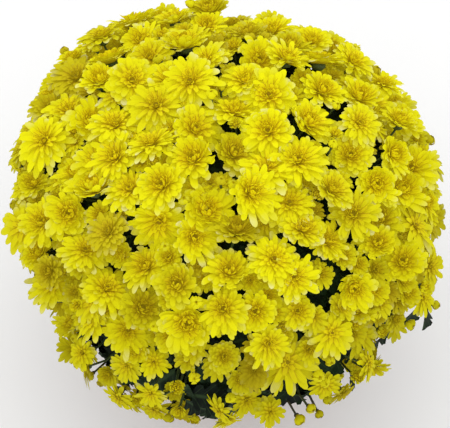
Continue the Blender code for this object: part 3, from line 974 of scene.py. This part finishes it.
plant = {
    "seed": 33,
    "count": 4,
    "circle": 0.036,
    "foot": 0.1163,
    "fork": 0.162,
    "top": 0.220,
    "lastBranch": 0.004,  # under the top
    "trunkGirth": (0.0052, 0.0039),
    "branchGirth": (0.0027, 0.00189),
    "stalkGirth": (0.0014375, 0.00115),
    "twigGirth": (0.0011, 0.0008),
    "hub": 0.62,  # share of the dome's size at which a branch divides into stalks
    "sides": 6,
    "leafKinds": 4,
    "leafSeed": 60,
    "leafSize": (0.034, 0.055),
    "leavesPerStalk": 2.5,
    "lowStalks": 0.225,  # height of the heads with more leaves on their stalks
    "moreLeaves": 1.3,
    "leafReach": (0.88, 0.93),  # share of the dome's size that the inner leaves and the low ones stay under
    "lowLeaves": 0.262,  # height below which the leaves may show between the heads
    "leavesPerBranch": 13,
    "skirtLeaves": 70,  # of each plant, spread out low under the dome's edge
    "collarLeaves": 50,  # of each plant, over the pot's rim
    "collarStart": (0.168, 0.200),
    "collarReach": (0.076, 0.112),
    "collarRise": (0.182, 0.212),
    "crownLeaves": 6,  # of each branch, flat under the heads
    "crownReach": (0.78, 0.84),
    "crownSpread": 0.22,
    # share of the way along a branch, a stalk and a low stalk where leaves grow
    "onBranch": (0.45, 1.0),
    "onStalk": (0.20, 0.68),
    "onLowStalk": (0.20, 0.86),
    # a branch's first stretch: its rise over its way out, and its share of the branch
    "branchRise": 0.9,
    "branchShare": 0.45,
    # the middle of a stalk from its end: back along the head's axis and in from the dome
    "stalkBack": 0.030,
    "stalkIn": 0.010,
    "cupDrop": 0.19,  # of a stalk's end under its head, for a head of radius 1
    # leaf greens: the leaves' own dark green, painted darker still as shade in the gaps between the heads
    "leafDark": (0.007, 0.010, 0.008),
    "leafGreen": (0.016, 0.036, 0.014),
    "leafRib": (0.042, 0.075, 0.030),
    "stemGreen": (0.085, 0.125, 0.035),
    "stemBrown": (0.060, 0.042, 0.020),
    "stemDark": (0.02, 0.03, 0.01),
    "leafGrain": 130,
    "leafVeins": 38.0,
    "leafRelief": (0.5, 0.0005),
    "fibreGrain": 700,
    "fibreDraw": (1.0, 1.0, 0.12),  # the fibres are drawn out along the height
    "stemGrain": 160,
    "woodyHeight": 0.235,  # below which the stems turn brown
    "stemRelief": (0.4, 0.0004),
}
# The outline of half a leaf of length 1, as place along and half width
leafHalf = (
    (0.00, 0.014), (0.13, 0.016), (0.20, 0.10), (0.27, 0.24), (0.33, 0.30), (0.38, 0.27), (0.42, 0.17),
    (0.49, 0.24), (0.56, 0.37), (0.62, 0.38), (0.66, 0.30), (0.69, 0.19), (0.77, 0.23), (0.84, 0.21),
    (0.90, 0.12), (0.96, 0.07),
)


def leafFinish():
    net = Finish("darkLeaf", {"Roughness": 0.6, "Specular IOR Level": 0.06})
    along, across, tone = net.attributes("along across tone")
    mottle = net.grain(net.place(), plant["leafGrain"], 3)
    width = net.maths("ABSOLUTE", across)
    rib = 1 - net.step(width, 0.01, 0.06)
    sideVein = net.step(net.maths("SINE", (along - width * 0.8) * plant["leafVeins"]), 0.86, 1.0)
    vein = net.maths("MAXIMUM", rib, sideVein * 0.55)
    tint = net.blend(plant["leafDark"], plant["leafGreen"], net.step(mottle * 0.7 + tone * 0.5, 0.25, 0.95))
    net.feed("Base Color", net.blend(tint, plant["leafRib"], vein * 0.7))
    net.bump(mottle * 0.5 - vein * 0.8, *plant["leafRelief"])
    return net.material


def stemFinish():
    net = Finish("greenStem", {"Roughness": 0.6, "Specular IOR Level": 0.3})
    place = net.place()
    drawn = net.node("ShaderNodeVectorMath", {0: place, 1: plant["fibreDraw"]}, operation="MULTIPLY")
    fibre, speckle = net.grain(drawn, plant["fibreGrain"], 3), net.grain(place, plant["stemGrain"], 2)
    brown = net.step(plant["woodyHeight"] - net.heightOf(place) + (speckle - 0.5) * 0.05, 0.0, 0.06)
    tint = net.blend(plant["stemGreen"], plant["stemBrown"], brown)
    net.feed("Base Color", net.blend(tint, plant["stemDark"], fibre * 0.45))
    net.bump(fibre, *plant["stemRelief"])
    return net.material


def leafMesh(name, rng):
    # a lobed leaf of length 1 along +Y: three pairs of rounded lobes on a short stalk
    points, along, across = [], [], []
    for y, x in leafHalf:
        for side in (-1, 0, 1):
            wide = x * rng.uniform(0.88, 1.12) if side else 0
            lift = 0.30 * wide - 0.38 * y * y + 0.10 * y
            lift += 0.05 * math.sin(9 * y + rng.uniform(0, 1)) * (wide > 0.1)
            points.append((side * wide, y + (0.05 * wide if side else 0), lift))
            along.append(float(y))
            across.append(float(side * wide))
    points.append((0, 1.0, -0.28))
    along.append(1.0)
    across.append(0.0)
    last = 3 * (len(leafHalf) - 1)
    faces = [*stripFaces(len(leafHalf) - 1), [last, last + 1, last + 3], [last + 1, last + 2, last + 3]]
    return meshFrom(name, points, faces, along=along, across=across, age=[1.0] * len(points))


def cupMesh():
    # the green cup under a head, for a head of radius 1
    return lathed("cup", ((0.055, -0.20), (0.16, -0.15), (0.27, -0.04), (0.25, 0.07)), (0.05, -0.20), age=1.0)


def plantTree(stemMaterial, leafMaterial):
    labels = {"Int": ("Sides",), "Object": ("Leaf Places", "Cup Places")}
    net, given = geometryTree("leafyPlant", {**labels, "Collection": ("Leaf Forms", "Cup Forms")})
    curve = net.shape("MeshToCurve", given["Geometry"])
    ring = net.shape("CurvePrimitiveCircle", given["Sides"], Radius=1.0)
    links = {"Curve": curve, "Profile Curve": ring, "Scale": net.attribute("girth"), "Fill Caps": True}
    stems = net.shape("SetShadeSmooth", net.node("GeometryNodeCurveToMesh", links))
    parts = [net.shape("SetMaterial", stems, Material=stemMaterial)]
    for label, finish in (("Leaf", leafMaterial), ("Cup", stemMaterial)):
        places = net.shape("ObjectInfo", given[label + " Places"], "Geometry")
        parts.append(placedForms(net, places, formsOf(net, given[label + " Forms"]), finish, 0.0))
    return ended(net, net.shape("RealizeInstances", net.shape("JoinGeometry", parts)))


def shareOfDome(point):
    # 1 on the dome, less inside it
    x, y, z = point - dome["centre"]
    depth = dome["rise"] if z > 0 else dome["drop"]
    return math.sqrt((x * x + y * y) / dome["radius"] ** 2 + (z / depth) ** 2)


def keptUnder(root, heading, size):
    # turns a leaf inwards until its tip stays under the heads
    for _ in range(8):
        tip = root + heading.normalized() * size
        move = uneven((tip - dome["centre"]).normalized())
        if shareOfDome(tip - move) < plant["leafReach"][root.z < plant["lowLeaves"]]:
            break
        heading = heading - 0.25 * outward(tip - dome["centre"])
    return heading


class Growth:
    # one plant: its leaves, and its stems as chains of points, each point with its girth
    def __init__(self, rng):
        self.rng = rng
        self.leaves, self.points, self.girths, self.edges = [], [], [], []

    def chain(self, points, girths):
        first, last = girths
        start, steps = len(self.points), len(points) - 1
        self.points += points
        self.girths += [first + (last - first) * i / steps for i in range(steps + 1)]
        self.edges += [(start + i, start + i + 1) for i in range(steps)]

    def stem(self, start, lean, end, steps, girths):
        self.chain([bend(start, lean, end, i / steps) for i in range(steps + 1)], girths)

    def leaf(self, root, heading, facing, size):
        form, tone = self.rng.randrange(plant["leafKinds"]), self.rng.random()
        self.leaves.append(Spot(root, heading.normalized(), facing.normalized(), size, form, tone))

    def leafUnder(self, root, normal, push, lift, sway):
        # a leaf along the dome, under the heads
        size = self.rng.uniform(*plant["leafSize"])
        heading = keptUnder(root, sideOf(self.rng, normal) + push, size)
        self.leaf(root, heading, normal + lift * up + sway * sideOf(self.rng, normal), size)

    def lowLeaf(self, root, low, spread, fall, tip, scale):
        # a leaf that spreads out under the dome's edge
        heading = low + spread * sideOf(self.rng, low) - fall * up
        facing = up + tip * low + 0.3 * sideOf(self.rng, up)
        self.leaf(root, heading, facing, self.rng.uniform(*plant["leafSize"]) * scale)


def growBranch(growth, k, start):
    # the branch to one spray with its leaves and the stalks of the spray's heads, which are handed back
    rng, direction = growth.rng, sprays[k]
    normal, hub = outward(direction), onDome(direction, plant["hub"])
    rising = Vector((direction.x, direction.y, plant["branchRise"])).normalized()
    lean = start + rising * (hub - start).length * plant["branchShare"]
    growth.stem(start, lean, hub, 5, plant["branchGirth"])
    for _ in range(plant["leavesPerBranch"]):
        root = bend(start, lean, hub, rng.uniform(*plant["onBranch"]))
        growth.leafUnder(root, normal, 0.5 * Vector((direction.x, direction.y, -0.1)), 0.7, 0.3)
    for _ in range(plant["crownLeaves"]):
        near = (direction + plant["crownSpread"] * sideOf(rng, direction)).normalized()
        root = onDome(near, rng.uniform(*plant["crownReach"]))
        growth.stem(hub, hub.lerp(root, 0.6) - 0.004 * normal, root, 3, plant["twigGirth"])
        growth.leafUnder(root, normal, Vector(), 0, 0.2)
    own = [f for f in flowers if f.spray == k]
    for flower in own:
        cup = flower.root - flower.facing * (plant["cupDrop"] * flower.size)
        lean = cup - flower.facing * plant["stalkBack"] - normal * plant["stalkIn"]
        growth.stem(hub, lean, cup, 5, plant["stalkGirth"])
        low = flower.root.z < plant["lowStalks"]
        for _ in range(int(plant["leavesPerStalk"] + low * plant["moreLeaves"] + rng.random())):
            root = bend(hub, lean, cup, rng.uniform(*plant["onLowStalk" if low else "onStalk"]))
            growth.leafUnder(root, normal, 0.2 * normal, 0.4, 0.35)
    return own


def growPlant(p, rng):
    # one plant, and the heads that it carries
    growth, own = Growth(rng), []
    count, foot, fork, top = (plant[label] for label in ("count", "foot", "fork", "top"))
    x, y, _ = around(math.tau * (p + 0.5) / count, plant["circle"])
    growth.chain([Vector((x, y, foot + (top - foot) * i / 5)) for i in range(6)], plant["trunkGirth"])
    turns = [math.atan2(s.y, s.x) % math.tau for s in sprays]
    quarter = [k for k, turn in enumerate(turns) if int(turn / (math.tau / count)) == p]
    quarter.sort(key=lambda k: sprays[k].z)
    for order, k in enumerate(quarter):
        height = fork + (top - plant["lastBranch"] - fork) * order / (len(quarter) - 1)
        own += growBranch(growth, k, Vector((x, y, height)))
    for _ in range(plant["skirtLeaves"]):
        low = Vector(around(math.tau * (p + rng.random()) / count))
        k = min(quarter, key=lambda k: (sprays[k].normalized() - low).length + rng.uniform(0, 0.5))
        hub = onDome(sprays[k], plant["hub"])
        root = hub + low * rng.uniform(0, 0.020) + up * rng.uniform(-0.01, 0.02)
        growth.stem(hub, hub + low * 0.02, root, 2, (0.001, 0.0008))
        growth.lowLeaf(root, low, 0.8, 0.15, 0.5, 0.75)
    for _ in range(plant["collarLeaves"]):
        low = Vector(around(math.tau * (p + rng.random()) / count))
        start = Vector((x, y, rng.uniform(*plant["collarStart"])))
        root = low * rng.uniform(*plant["collarReach"]) + up * rng.uniform(*plant["collarRise"])
        growth.stem(start, start.lerp(root, 0.5) + up * 0.01, root, 4, plant["twigGirth"])
        growth.lowLeaf(root, low, 0.7, 0.10, 0.4, 0.85)
    return growth, own


def makePlants():
    tree = plantTree(stemFinish(), leafFinish())
    leafForms, cupForms = newGroup("leafForms"), newGroup("cupForms")
    for k in range(plant["leafKinds"]):
        rng = random.Random(plant["leafSeed"] + k)
        placed(f"leafForm{k}", leafMesh(f"leafForm{k}", rng), leafForms)
    placed("cupForm", cupMesh(), cupForms)
    forms = {"Leaf Forms": leafForms, "Cup Forms": cupForms, "Sides": plant["sides"]}
    rng = random.Random(plant["seed"])
    for p in range(plant["count"]):
        growth, own = growPlant(p, rng)
        leafPlaces = placed("leafPlaces", spotsMesh("leafPlaces", growth.leaves))
        cupPlaces = placed("cupPlaces", spotsMesh("cupPlaces", [f._replace(form=0) for f in own]))
        name = f"stemsAndLeaves{p + 1}"
        piece = placed(name, meshFrom(name, growth.points, [], growth.edges, girth=growth.girths))
        grown(piece, tree, {**forms, "Leaf Places": leafPlaces, "Cup Places": cupPlaces})
        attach(piece, "root")
        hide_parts(f"leafy_stems_{p + 1}")
        removed(leafPlaces, cupPlaces)
        print(f"plant {p + 1}: {len(growth.leaves)} leaves, {len(own)} stalks")
    removed(leafForms, cupForms)


makePlants()


# Pot and potting soil

pot = {
    "height": 0.165,
    "rimRadius": 0.108,
    "baseRadius": 0.078,
    "wall": 0.0028,
    "floor": 0.0034,
    "hollow": 0.0012,  # of the underside within its standing ring
    "edge": 0.004,
    "bandHeight": 0.024,
    "bandStep": 0.0036,
    "steps": 96,
    "drains": 5,
    "drainRadius": 0.0065,
    "drainCircle": 0.052,
    "colour": (0.235, 0.085, 0.045),
    "dust": (0.36, 0.20, 0.13),
    "shadow": (0.10, 0.035, 0.02),
    "grains": (16, 420),  # of the dust's clouds and its specks
    "relief": (0.25, 0.0003),
    "sharp": math.radians(38),
}
soil = {
    "seed": 8,
    "top": 0.150,
    "crown": 0.004,
    "rings": 22,
    "steps": 72,
    "lumps": 0.0022,
    "chips": 240,
    "chipKinds": 4,
    "chipShape": (1.5, 1.0, 0.55),
    "chipStretch": (0.7, 1.2),
    "chipSize": (0.0014, 0.0042),
    "perlite": 70,
    "perliteSize": (0.0012, 0.0022),
    "dark": (0.020, 0.012, 0.007),
    "brown": (0.070, 0.040, 0.022),
    "white": (0.55, 0.53, 0.48),
    "grains": (90, 520),  # of the clods and the fine crumbs
    "relief": (0.8, 0.002),
}


def wallRadius(height):
    flare = pot["rimRadius"] - pot["bandStep"] - pot["baseRadius"]
    return pot["baseRadius"] + flare * height / pot["height"]


def turned(name, profile, steps):
    work = bmesh.new()
    points = [work.verts.new((radius, 0, height)) for radius, height in profile]
    edges = [work.edges.new(pair) for pair in zip(points, points[1:])]
    axis = {"cent": (0, 0, 0), "axis": (0, 0, 1), "angle": math.tau, "steps": steps}
    bmesh.ops.spin(work, geom=points + edges, use_merge=True, **axis)
    bmesh.ops.remove_doubles(work, verts=work.verts, dist=0.00001)
    bmesh.ops.recalc_face_normals(work, faces=work.faces)
    return meshOf(name, work)


def potFinish():
    net = Finish("pottedPlastic", {"Specular IOR Level": 0.4})
    place = net.place()
    cloud, speck = net.grain(place, pot["grains"][0], 4), net.grain(place, pot["grains"][1], 2)
    dust = net.step(cloud + (0.05 - net.heightOf(place)) * 2.0, 0.45, 0.85) * 0.35
    dust = dust + net.step(speck, 0.62, 0.75) * 0.15
    tint = net.blend(pot["colour"], pot["dust"], dust)
    net.feed("Base Color", net.blend(tint, pot["shadow"], net.step(cloud, 0.55, 0.8) * 0.35))
    net.feed("Roughness", 0.42 + dust * 0.5)
    net.bump(speck, *pot["relief"])
    return net.material


def potProfile():
    # radii and heights, from the middle of the underside round the rim to the middle of the floor
    tall, rim, floor, wall, edge = (pot[label] for label in ("height", "rimRadius", "floor", "wall", "edge"))
    band, foot = tall - pot["bandHeight"], wallRadius(0)
    profile = [(0, pot["hollow"]), (foot - 0.012, pot["hollow"]), (foot - 0.0105, 0), (foot - edge, 0)]
    for t in (0.4, 0.8, 1.2, 1.57):
        profile.append((foot - edge + edge * math.sin(t) + 0.0002 * t, edge - edge * math.cos(t)))
    profile += [(wallRadius(z), z) for z in (0.010, 0.030, 0.060, 0.090, 0.120, band - 0.004)]
    profile += [(wallRadius(band) + 0.0006, band - 0.0012), (rim - 0.0022, band)]
    profile += [(rim - 0.0011, band + 0.0008), (rim - 0.0008, band + 0.003), (rim - 0.0002, tall - 0.0035)]
    profile += [(rim, tall - 0.0024), (rim - 0.0004, tall - 0.0008), (rim - 0.0014, tall)]
    profile += [(rim - 0.0030, tall), (rim - 0.0042, tall - 0.0008)]
    profile += [(wallRadius(z) - wall, z) for z in (tall - 0.004, 0.12, 0.06, floor + 0.003)]
    return profile + [(wallRadius(floor) - wall - 0.003, floor), (0, floor)]


def makePot():
    piece = placed("potShell", turned("potShell", potProfile(), pot["steps"]))
    cutters = newGroup("drains")
    size = {"radius1": pot["drainRadius"], "radius2": pot["drainRadius"], "depth": 0.03}
    for k in range(pot["drains"]):
        work = bmesh.new()
        bmesh.ops.create_cone(work, cap_ends=True, segments=24, **size)
        move = Vector(around(math.tau * k / pot["drains"], pot["drainCircle"]))
        bmesh.ops.translate(work, verts=work.verts, vec=move)
        placed("drain", meshOf("drain", work), cutters)
    cut = piece.modifiers.new("drains", "BOOLEAN")
    cut.operation, cut.operand_type, cut.collection = "DIFFERENCE", "COLLECTION", cutters
    data = settledMesh(piece).data
    removed(cutters)
    data.materials.clear()
    data.materials.append(potFinish())
    data.shade_smooth()
    data.set_sharp_from_angle(angle=pot["sharp"])
    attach(piece, "root")
    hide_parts("pot")


def soilFinish():
    net = Finish("pottingSoil", {"Roughness": 0.92})
    place = net.place()
    clod, fine = net.grain(place, soil["grains"][0], 5, 0.65), net.grain(place, soil["grains"][1], 3, 0.6)
    tint = net.blend(soil["dark"], soil["brown"], net.step(clod * 0.6 + fine * 0.4, 0.38, 0.68))
    net.feed("Base Color", net.blend(tint, soil["white"], net.step(net.attribute("tone"), 1.4, 1.6)))
    net.bump(clod * 0.5 + fine * 0.5, *soil["relief"])
    return net.material


def chipMesh(name, rng):
    work = bmesh.new()
    bmesh.ops.create_icosphere(work, subdivisions=1, radius=1)
    for vert in work.verts:
        x, y, z = (v * s for v, s in zip(vert.co, soil["chipShape"]))
        vert.co = Vector((x, y, z)) * rng.uniform(*soil["chipStretch"])
    return meshOf(name, work)


def soilTree(finish):
    net, given = geometryTree("soilCrumbs", {"Object": ("Chip Places",), "Collection": ("Chip Forms",)})
    ground = net.shape("SetShadeSmooth", given["Geometry"])
    ground = net.shape("SetMaterial", ground, Material=finish)
    places = net.shape("ObjectInfo", given["Chip Places"], "Geometry")
    chips = placedForms(net, places, formsOf(net, given["Chip Forms"]), finish, 0.0)
    return ended(net, net.shape("RealizeInstances", net.shape("JoinGeometry", [ground, chips])))


def soilHeight(x, y, edge):
    share = min(1.0, math.hypot(x, y) / edge)
    lump = noise.noise(Vector((x, y, 0.3)) * 90) + 0.5 * noise.noise(Vector((x, y, 0.7)) * 260)
    return soil["top"] + soil["crown"] * (1 - share**2) + soil["lumps"] * lump * (1 - share**6)


def chipSpot(white, edge, rng):
    # a chip of bark, or a white crumb, somewhere on the soil
    radius, turn = (edge - 0.004) * math.sqrt(rng.random()), rng.uniform(0, math.tau)
    x, y, _ = around(turn, radius)
    facing = (up + 0.5 * sideOf(rng, up)).normalized()
    size = rng.uniform(*soil["perliteSize" if white else "chipSize"])
    root = Vector((x, y, soilHeight(x, y, edge) + size * 0.15))
    return Spot(root, sideOf(rng, facing), facing, size, 0, 2.0 if white else rng.random())


def makeSoil():
    bottom = pot["floor"] + 0.0003
    edge = wallRadius(soil["top"]) - pot["wall"] - 0.0006
    foot = wallRadius(bottom) - pot["wall"] - 0.0036
    radii = [edge * (i + 1) / soil["rings"] for i in range(soil["rings"])]
    profile = [(0, soil["top"])] + [(r, soil["top"]) for r in radii] + [(foot, bottom), (0, bottom)]
    data = turned("soilBed", profile, soil["steps"])
    for vert in data.vertices:
        if vert.co.z > soil["top"] - 0.001:
            vert.co.z = soilHeight(vert.co.x, vert.co.y, edge)
    rng = random.Random(soil["seed"])
    spots = [chipSpot(k >= soil["chips"], edge, rng) for k in range(soil["chips"] + soil["perlite"])]
    group = newGroup("chipForms")
    for k in range(soil["chipKinds"]):
        placed(f"chipForm{k}", chipMesh(f"chipForm{k}", rng), group)
    spots = [spot._replace(form=rng.randrange(soil["chipKinds"])) for spot in spots]
    places = placed("chipPlaces", spotsMesh("chipPlaces", spots))
    piece = placed("soilBed", data)
    grown(piece, soilTree(soilFinish()), {"Chip Places": places, "Chip Forms": group})
    removed(places, group)
    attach(piece, "root")
    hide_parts("potting_soil")


makePot()
makeSoil()
print("pot and soil made")

for tree in list(bpy.data.node_groups):
    bpy.data.node_groups.remove(tree)
triangles = {}
for obj in bpy.context.scene.objects:
    if obj.type == "MESH" and obj.name not in frame["nodes"]:
        obj.data.calc_loop_triangles()
        triangles[obj.name] = len(obj.data.loop_triangles)
print("triangles", sum(triangles.values()), "largest", max(triangles.values()))
